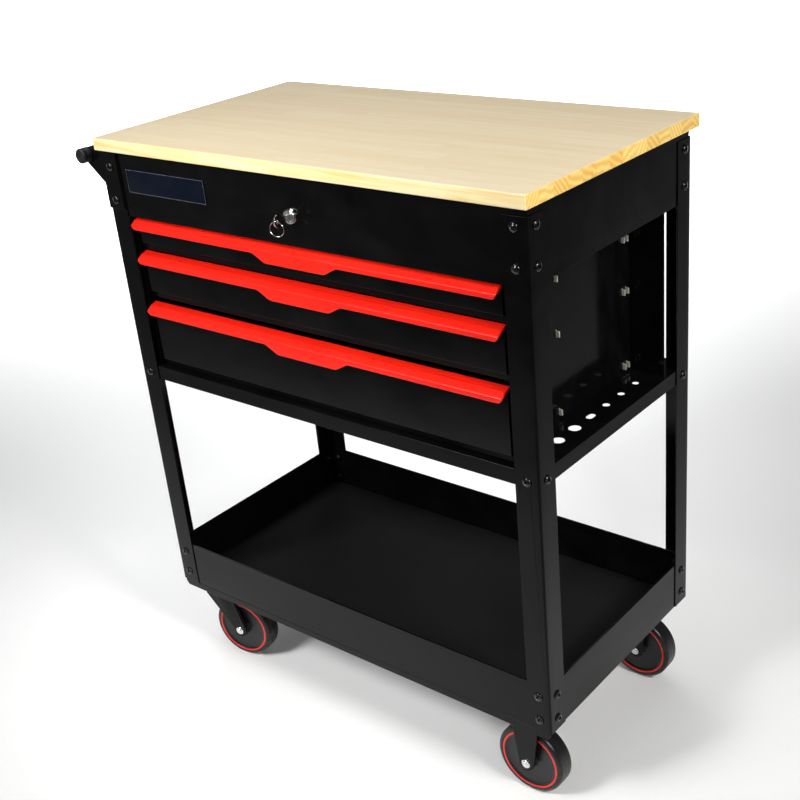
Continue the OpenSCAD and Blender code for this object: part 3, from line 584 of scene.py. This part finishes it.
# Lower edge of the lip at a place along the pull: a quarter circle at each end, and at the middle a tab with
# sloping sides whose corners are softened by averaging over a short stretch
def lipDrop(x, half, plan):
    spread = np.linspace(-1, 1, 9)[:, None] * plan["soften"]
    ramp = (plan["tabHalf"] + plan["tabSlope"] - np.abs(x[None, :] + spread)) / plan["tabSlope"]
    tab = -plan["tabDrop"] * np.clip(ramp, 0, 1).mean(0)
    r = plan["endRadius"]
    near = np.clip(r - (half - np.abs(x)), 0, r * 0.98)
    return tab + np.minimum(r - np.sqrt(r * r - near * near), plan["lip"] - 1.2 * mm)


def makePull(level, plan):
    low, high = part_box("pull_" + level)
    face = high.y - plan["cap"]
    reach = face - low.y
    z0 = high.z - plan["height"]
    wall, top, lip, cap = plan["wall"], plan["height"], plan["lip"], plan["cap"]
    inner, seat, shallow = reach - wall, top - 2 * wall, top - 2.8 * mm
    corners = np.array([(-cap, top), (0, top - 1.4 * mm), (2.5 * mm, shallow + 0.2 * mm),
                        (4.5 * mm, shallow),
                        (reach - 1 * mm, lip + 1 * mm), (reach, lip), (reach, 0), (inner, 0),
                        (inner, lip - 1.2 * mm), (inner - 0.5 * mm, lip - 0.7 * mm),
                        (0, seat - wall), (0, seat),
                        (wall - cap, seat + 1.1 * mm), (wall - cap, seat), (-cap, seat)])
    radii = np.array([0.8, 3, 2, 2, 1.6, 1.6, 0.5, 0.5, 0.8, 0.8, 0.8, 0.2, 0.2, 0.2, 0.2]) * mm
    outline = roundedOutline(corners, radii, 5)
    half = (high.x - low.x) / 2
    middle = (high.x + low.x) / 2
    corner = half - plan["endRadius"] * (1 - np.cos(np.linspace(0, math.pi / 2, 12)))
    tab = np.linspace(plan["tabHalf"] - 5 * mm, plan["tabHalf"] + plan["tabSlope"] + 5 * mm, 36)
    positive = np.concatenate([[0.0], tab, corner])
    places = np.unique(np.round(np.concatenate([-positive, positive]), 7))
    drop = lipDrop(places, half, plan)[:, None] * (outline[None, :, 1] < 1.2 * mm)
    sections = np.stack([np.broadcast_to(face - outline[:, 0], drop.shape), z0 + outline[:, 1] + drop], -1)
    name = "pull_" + level
    pieceFrom(camel(name), *carriedAlongX(places + middle, sections), "red_pull", bodyOf[name], [name], 40)


for level in levels:
    makeDrawerFace(level, drawerPlan)
    makePull(level, pullPlan)
print("drawer faces and pulls made")


# A bolt as a stack of rings: ring = radius at a height, and how much of a hexagon it is.
# radius(angle) = radius * (1 - hex + hex * cos(30 deg) / cos(angle folded into one sixth turn))
def ringStack(rings, steps=36):
    rings = np.asarray(rings, float)
    angle = np.linspace(0, 2 * math.pi, steps, endpoint=False)
    folded = np.mod(angle, math.pi / 3) - math.pi / 6
    hexagon = math.cos(math.pi / 6) / np.cos(folded)
    radius = rings[:, 0, None] * (1 - rings[:, 2, None] + rings[:, 2, None] * hexagon)
    height = np.broadcast_to(rings[:, 1, None], radius.shape)
    points = np.stack([radius * np.cos(angle), radius * np.sin(angle), height], -1)
    return points.reshape(-1, 3), gridFaces(len(rings), steps, False, True)


# Copies of one shape: point = place + x * side + y * other + z * outward, for all copies at once
def copiesOf(shape, places, outwards):
    points, faces = shape
    outwards = np.asarray(outwards, float)
    up = np.broadcast_to((0.0, 0.0, 1.0), outwards.shape)
    side = np.cross(up, outwards)
    bases = np.stack([side, np.cross(outwards, side), outwards], 1)
    placed = np.asarray(places)[:, None] + np.einsum("pk,nkj->npj", points, bases)
    faces = np.asarray(faces)
    everyFace = faces[None] + (np.arange(len(placed)) * len(points))[:, None, None]
    return placed.reshape(-1, 3), everyFace.reshape(-1, 4).tolist()


boltPlan = {
    "inset": 17 * mm,             # from the post's corner
    "topDrops": (21.7 * mm, 68.2 * mm),
    "deckRise": 9 * mm,
    "trayDrop": 16.5 * mm,
    "trayRise": 18.2 * mm,
    "bracket": 2 * mm,            # thickness of the handle brackets, under the two upper bolts at the left
    "headRadius": 6 * mm,
    "headHeight": 3.1 * mm,
    "socket": 2.3 * mm,
    "socketDepth": 1.9 * mm,
    "grip": 2.7 * mm,             # the sheets held between head and nut
    "nutRadius": 5.6 * mm,
    "rim": 0.45 * mm,             # straight edge under the dome
}


# Rings of a dome head with a hexagon socket, its shank and its nut, from the socket's floor to the tip
def domeHeadRings(plan):
    radius, height, rise = plan["headRadius"], plan["headHeight"], plan["rim"]
    socket, socketDepth = plan["socket"], plan["socketDepth"]
    grip, nut = plan["grip"], plan["nutRadius"]
    bend = np.linspace(0.16, 1, 8) * math.pi / 2
    dome = [(radius * math.sin(a), rise + (height - rise) * math.cos(a) ** 0.8, 0) for a in bend[:-1]]
    rim = [(radius, rise, 0), (radius, 0, 0)]
    middle = (socket * 1.08, height * 0.99, 0.6)
    recess = [(0, height - socketDepth, 1), (socket, height - socketDepth, 1),
              (socket, height - 0.25 * mm, 1), middle]
    outer = [d for d in dome if d[0] > socket * 1.15]
    thread = radius / 2
    shank = [(thread, -0.05 * mm, 0), (thread, -grip, 0)]
    under = -grip - 5 * mm        # the far face of the nut
    nutRings = [(nut * 0.93, -grip, 1), (nut, -grip - 0.6 * mm, 1),
                (nut, under + 0.6 * mm, 1), (nut * 0.93, under, 1)]
    tip = under - 1.5 * mm
    end = [(thread, under, 0), (thread, tip + 0.3 * mm, 0), (thread * 0.8, tip, 0), (0, tip, 0)]
    return recess + outer + rim + shank + nutRings + end


def makeFrameBolts(plan):
    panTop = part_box("top_pan")[1].z
    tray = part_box("bottom_tray")
    heights = [panTop - d for d in plan["topDrops"]]
    heights.append(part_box("mid_deck")[0].z + plan["deckRise"])
    heights += [tray[1].z - plan["trayDrop"], tray[0].z + plan["trayRise"]]
    places, outwards = [], []
    for end in ("front", "rear"):
        for name, side in sides.items():
            low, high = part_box(f"post_{end}_{name}")
            x = high.x if side > 0 else low.x
            y = low.y if end == "front" else high.y
            out = -1 if end == "front" else 1
            for number, z in enumerate(heights):
                lift = plan["bracket"] if side < 0 and number < 2 else 0
                places += [(x - side * plan["inset"], y + out * lift, z), (x, y - out * plan["inset"], z)]
                outwards += [(0, out, 0), (side, 0, 0)]
    bolts = copiesOf(ringStack(domeHeadRings(plan)), places, outwards)
    pieceFrom("frameBolts", *bolts, "black_bolt", "frame", ["frame_bolts"], 30)


makeFrameBolts(boltPlan)
print("frame bolts made")


# The moulded caps plugged into the ends of the handle tube
def makeHandleCaps():
    plan = {"pinRadius": 3.8 * mm, "pin": 12 * mm, "round": 2 * mm, "start": 2 * mm}
    low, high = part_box("handle_caps")
    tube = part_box("handle_tube")
    radius = (high.z - low.z) / 2
    centre = ((low.x + high.x) / 2, 0, (low.z + high.z) / 2)
    arc = np.linspace(0, math.pi / 2, 7)
    r = plan["round"]
    caps = (("handleCapFront", low.y, tube[0].y, -1), ("handleCapRear", high.y, tube[1].y, 1))
    for name, tip, root, out in caps:
        length = abs(tip - root) - plan["start"]
        profile = [(0, -plan["pin"]), (plan["pinRadius"], -plan["pin"]), (plan["pinRadius"], 0),
                   (radius - 0.3 * mm, 0), (radius, 0.3 * mm), (radius, length * 0.45),
                   (radius - 0.25 * mm, length * 0.5), (radius, length * 0.55)]
        profile += [(radius - r + r * math.cos(a), length - r + r * math.sin(a)) for a in arc]
        profile += [(radius * 0.62, length), (radius * 0.58, length - 0.25 * mm), (0, length - 0.25 * mm)]
        shape = turned(profile, (centre[0], root + out * plan["start"], centre[2]), (0, out, 0), 56)
        pieceFrom(name, *shape, "cap_plastic", "frame", ["handle_caps"] if out < 0 else [])


makeHandleCaps()


# Lock housing: flange, barrel and nut in one profile turned about the key's axis
def makeLock():
    plan = {
        "outer": 9.5 * mm,
        "bore": 5.56 * mm,
        "barrel": 7.5 * mm,
        "length": 27 * mm,
        "nut": 10.5 * mm,
        "nutFrom": 1.4 * mm,          # behind the apron's face: its sheet and a gap
        "nutTo": 5 * mm,
    }
    low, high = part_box("lock_housing")
    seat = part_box("top_pan")[0].y - low.y
    outer, bore, barrel, length = plan["outer"], plan["bore"], plan["barrel"], plan["length"]
    flange = [(bore, length), (bore, 0.6 * mm), (bore + 0.5 * mm, 0.1 * mm), (bore + 1.2 * mm, 0),
              (outer - 1.6 * mm, 0), (outer - 0.5 * mm, 0.5 * mm), (outer, 1.6 * mm), (outer, 2.6 * mm),
              (outer - 0.3 * mm, 2.8 * mm), (outer - 0.3 * mm, 3.2 * mm), (outer, 3.4 * mm), (outer, seat),
              (barrel, seat)]
    nut = [(barrel, seat + plan["nutFrom"]), (plan["nut"], seat + plan["nutFrom"]),
           (plan["nut"], seat + plan["nutTo"]), (barrel, seat + plan["nutTo"])]
    place = ((low.x + high.x) / 2, low.y, (low.z + high.z) / 2)
    shape = turned(flange + nut + [(barrel, length)], place, (0, 1, 0), 48, closed=True)
    pieceFrom("lockHousing", *shape, "chrome", "frame", ["lock_housing"], 25)


makeLock()
softenedCopy("lock_plug", 0.35 * mm)


# A split ring: the middle of its wire runs twice round while it moves sideways by one wire,
# point = ring point + wire radius * (cos(v) * outwards + sin(v) * sideways)
def makeKeyRing():
    plan = {"steps": 150, "sides": 10, "askew": math.radians(18)}        # it hangs askew in the key's hole
    steps, sides = plan["steps"], plan["sides"]
    low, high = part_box("key_ring")
    centre = np.array([(low.x + high.x) / 2, (low.y + high.y) / 2, (low.z + high.z) / 2])
    thick = (high.y - low.y) / 4
    radius = (high.x - low.x) / 2 - thick
    u = np.linspace(0, 4 * math.pi, steps)[:, None]
    v = np.linspace(0, 2 * math.pi, sides + 1)[None, :-1]
    size = thick * np.minimum(1, 0.2 + 20 * np.minimum(u, 4 * math.pi - u))
    along = (u / (4 * math.pi) - 0.5) * 2 * thick
    out = radius + size * np.cos(v)
    cosine, sine = math.cos(plan["askew"]), math.sin(plan["askew"])
    across, deep, up = out * np.sin(u), along + size * np.sin(v), out * np.cos(u)
    points = centre + np.stack([across * cosine - deep * sine, across * sine + deep * cosine, up], -1)
    faces = gridFaces(steps, sides, False, True)
    last = (steps - 1) * sides
    faces += [list(range(sides))[::-1], list(range(last, last + sides))]
    pieceFrom("keyRing", points.reshape(-1, 3), faces, "chrome", "key_ring", ["key_ring"])


makeKeyRing()
print("handle caps, lock and ring made")

# Sizes of a wheel; heights along its axis are measured from its middle
wheelPlan = {
    "radius": 51 * mm,
    "coreRadius": 43.5 * mm,
    "tyreHalf": 14 * mm,
    "hubHalf": 18.5 * mm,
    "bore": 4.06 * mm,
    "ringRadius": 42.3 * mm,      # the red ring on each face of the core
    "ringHalf": 1.3 * mm,
    "ringSeat": 13.45 * mm,
    "ringRise": 0.5 * mm,
    "shoulder": 6 * mm,
    "forkOut": 21.5 * mm,         # outer face of the fork, where the axle's head and nut sit
}
wheels = ("front_left", "rear_left", "front_right", "rear_right")


def mirrored(half):
    return half + [(r, -h) for r, h in reversed(half)]


def makeWheel(place, plan):
    joint = jointOf[f"wheel_{place}_roll"]
    centre, axis = joint["pos_m"], joint["axis"]
    body = bodyOf["tyre_" + place]
    w, r, core = plan["tyreHalf"], plan["radius"], plan["coreRadius"]
    arc = np.linspace(0, math.pi / 2, 9)
    shoulder = plan["shoulder"]
    half = [(core + 0.02 * mm, w - 0.9 * mm), (core + 0.35 * mm, w - 0.1 * mm), (core + 1.2 * mm, w)]
    flat = 0.8 * shoulder         # the shoulder is less deep across than it is high
    half += [(r - shoulder + shoulder * math.sin(a), w - flat + flat * math.cos(a)) for a in arc]
    half += [(r, 4.2 * mm), (r - 0.25 * mm, 4.0 * mm), (r - 0.25 * mm, 3.7 * mm), (r, 3.5 * mm)]
    pieceFrom(camel("tyre_" + place), *turned(mirrored(half), centre, axis, 128, closed=True),
              "tyre_rubber", body, ["tyre_" + place], 40)
    hub = plan["hubHalf"]
    face = [(plan["bore"], hub), (10.4 * mm, hub), (11 * mm, hub - 0.6 * mm), (11.4 * mm, 12.6 * mm),
            (12.4 * mm, 11.4 * mm), (14 * mm, 11.2 * mm), (24 * mm, 11.0 * mm), (36.4 * mm, 11.2 * mm),
            (38 * mm, 11.5 * mm), (39.6 * mm, 13.0 * mm), (40.4 * mm, 13.4 * mm), (43.2 * mm, 13.4 * mm),
            (core, 13.1 * mm)]
    pieceFrom(camel("wheel_" + place), *turned(mirrored(face), centre, axis, 96, closed=True),
              "wheel_plastic", body, ["wheel_" + place], 40)
    turn = np.linspace(0, 2 * math.pi, 13)[:-1]
    for side, label in ((1, "RingA"), (-1, "RingB")):
        out = plan["ringRadius"] + plan["ringHalf"] * np.cos(turn)
        along = side * (plan["ringSeat"] + plan["ringRise"] * np.sin(turn))
        shape = turned(np.stack([out, along], 1), centre, axis, 96, closed=True)
        pieceFrom(camel("wheel_" + place) + label, *shape, "red_pull", body)


# Axle bolt: a low round head over a flange at one end, a hexagon nut at the other, along the wheel's axis
def axleRings(plan):
    out = plan["forkOut"]
    head = [(0, -out - 3.5 * mm, 0), (2.4 * mm, -out - 3.45 * mm, 0), (3.9 * mm, -out - 3.1 * mm, 0),
            (4.5 * mm, -out - 2.5 * mm, 0), (4.6 * mm, -out - 2 * mm, 0), (6.1 * mm, -out - 1.9 * mm, 0),
            (6.5 * mm, -out - 1.5 * mm, 0), (6.5 * mm, -out, 0), (4 * mm, -out, 0)]
    nut = [(4 * mm, out, 0), (6.1 * mm, out, 1), (6.5 * mm, out + 0.5 * mm, 1),
           (6.5 * mm, out + 4.4 * mm, 1), (5.9 * mm, out + 5 * mm, 1), (3.9 * mm, out + 5 * mm, 0),
           (3.9 * mm, out + 5.6 * mm, 0), (3.4 * mm, out + 6 * mm, 0), (0, out + 6 * mm, 0)]
    return head + nut


def makeAxles(plan):
    shape = ringStack(axleRings(plan))
    served = {"axle_front_left": wheels[:1], "axle_rear_left": wheels[1:2], "axles_right": wheels[2:]}
    for node, places in served.items():
        joints = [jointOf[f"wheel_{p}_roll"] for p in places]
        copies = copiesOf(shape, [j["pos_m"] for j in joints], [j["axis"] for j in joints])
        pieceFrom(camel(node), *copies, "chrome", bodyOf[node], [node], 30)


for place in wheels:
    makeWheel(place, wheelPlan)
makeAxles(wheelPlan)
print("wheels made")

# A pale floor under soft lamps
stagePlan = {
    "floorHalf": 18.0,
    "floorTone": 0.95,
    "world": 0.11,
}


def makeFloor(plan):
    half = plan["floorHalf"]
    mesh = bpy.data.meshes.new("floor")
    corners = [(-half, -half, 0), (half, -half, 0), (half, half, 0), (-half, half, 0)]
    mesh.from_pydata(corners, [], [(0, 1, 2, 3)])
    floor = bpy.data.objects.new("floor", mesh)
    bpy.context.scene.collection.objects.link(floor)
    material, tree, shader = newFinish("floorPaper", (plan["floorTone"],) * 3, 0.9, specular=0.1)
    tone = spreadOf(tree, noiseOf(tree, objectCoords(tree), 3, 4, 0.5), 0.985, 1.0)
    shade = blendOf(tree, tone, (0.88,) * 3, (plan["floorTone"],) * 3)
    tree.links.new(shade, shader.inputs["Base Color"])
    mesh.materials.append(material)


lamps = {
    # name: place, aim, size across and up, power, spread in degrees, colour
    "frontKey": ((-0.8, -2.0, 2.2), (-0.12, -0.32, 0.4), (0.9, 0.7), 4.5, 44, (1.0, 1.0, 0.99)),
    "rightKey": ((2.2, -0.4, 2.0), (0.42, -0.02, 0.4), (0.8, 0.6), 2.6, 38, (1.0, 0.99, 0.96)),
    "overhead": ((-0.3, 0.25, 3.2), (-0.3, 0.25, 0.0), (1.6, 1.4), 3.6, 55, (0.98, 0.99, 1.0)),
    "backWash": ((-1.8, 2.2, 3.0), (-1.8, 2.2, 0.0), (2.4, 2.4), 40, 80, (1.0, 1.0, 1.0)),
    "farWash": ((-4.8, 5.6, 4.0), (-4.8, 5.6, 0.0), (5.0, 5.0), 800, 110, (1.0, 1.0, 1.0)),
    "farthestWash": ((-9.5, 6.5, 5.0), (-9.5, 6.5, 0.0), (7.0, 7.0), 1900, 120, (1.0, 1.0, 1.0)),
    "edgeFill": ((-0.6, -2.2, 1.25), (-0.05, -0.2, 0.82), (0.5, 0.3), 0.8, 30, (1.0, 0.98, 0.94)),
    "endFill": ((2.4, 0.3, 1.25), (0.3, 0.0, 0.78), (0.5, 0.3), 0.6, 30, (1.0, 0.97, 0.9)),
    "sparkle": ((2.1, -1.9, 1.7), (0.1, -0.1, 0.5), (0.3, 0.3), 1.6, 50, (1.0, 1.0, 1.0)),
}


def makeLamps(lampList):
    for name, (place, aim, size, power, spread, colour) in lampList.items():
        data = bpy.data.lights.new(name, "AREA")
        data.shape = "RECTANGLE"
        data.size, data.size_y = size
        data.energy = power
        data.spread = math.radians(spread)
        data.color = colour
        lamp = bpy.data.objects.new(name, data)
        lamp.location = place
        lamp.rotation_euler = (Vector(aim) - Vector(place)).to_track_quat("-Z", "Y").to_euler()
        bpy.context.scene.collection.objects.link(lamp)


def makeWorld(strength):
    world = bpy.data.worlds.new("world")
    world.use_nodes = True
    world.node_tree.nodes["Background"].inputs["Color"].default_value = (0.96, 0.98, 1.0, 1)
    world.node_tree.nodes["Background"].inputs["Strength"].default_value = strength
    bpy.context.scene.world = world


makeFloor(stagePlan)
makeLamps(lamps)
makeWorld(stagePlan["world"])
print("floor and lights made")
